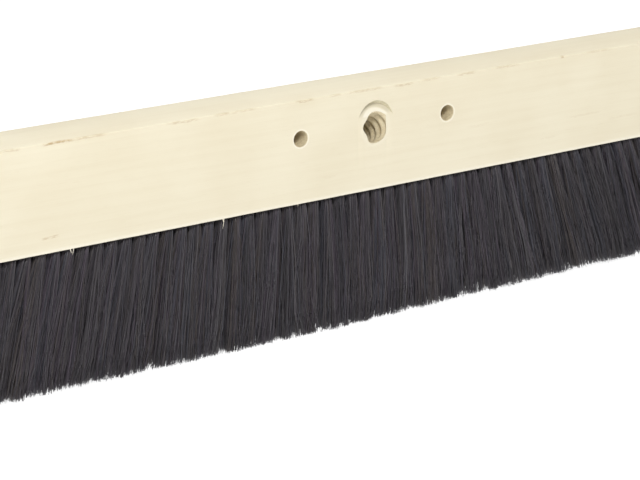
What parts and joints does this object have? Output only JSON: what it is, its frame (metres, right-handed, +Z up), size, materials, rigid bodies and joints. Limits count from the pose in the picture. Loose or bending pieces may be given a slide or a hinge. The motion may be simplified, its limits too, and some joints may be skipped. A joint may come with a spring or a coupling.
{
  "type": "push broom head",
  "caption": "Push broom head: straight wooden block with a slanted threaded handle socket, two brace bolt holes and rows of fine black bristles.",
  "frame": {"origin": "middle of the plane of the bristle tips, on the floor", "axes": "+X along the block, +Z up from the bristle tips to the block, -Y out of the handle side"},
  "size_m": [0.655, 0.041, 0.151],
  "materials": {
    "block_wood": "matte",
    "bristle": "satin"
  },
  "bodies": {
    "root": {"block": "block_wood", "bristles_front_01": "bristle", "bristles_front_02": "bristle", "bristles_front_03": "bristle", "bristles_front_04": "bristle", "bristles_front_05": "bristle", "bristles_front_06": "bristle", "bristles_front_07": "bristle", "bristles_front_08": "bristle", "bristles_front_09": "bristle", "bristles_front_10": "bristle", "bristles_front_11": "bristle", "bristles_front_12": "bristle", "bristles_front_13": "bristle", "bristles_front_14": "bristle", "bristles_front_15": "bristle", "bristles_front_16": "bristle", "bristles_middle_01": "bristle", "bristles_middle_02": "bristle", "bristles_middle_03": "bristle", "bristles_middle_04": "bristle", "bristles_middle_05": "bristle", "bristles_middle_06": "bristle", "bristles_middle_07": "bristle", "bristles_middle_08": "bristle", "bristles_middle_09": "bristle", "bristles_middle_10": "bristle", "bristles_middle_11": "bristle", "bristles_middle_12": "bristle", "bristles_middle_13": "bristle", "bristles_middle_14": "bristle", "bristles_middle_15": "bristle", "bristles_middle_16": "bristle", "bristles_back_01": "bristle", "bristles_back_02": "bristle", "bristles_back_03": "bristle", "bristles_back_04": "bristle", "bristles_back_05": "bristle", "bristles_back_06": "bristle", "bristles_back_07": "bristle", "bristles_back_08": "bristle", "bristles_back_09": "bristle", "bristles_back_10": "bristle", "bristles_back_11": "bristle", "bristles_back_12": "bristle", "bristles_back_13": "bristle", "bristles_back_14": "bristle", "bristles_back_15": "bristle", "bristles_back_16": "bristle"}
  },
  "joints": []
}
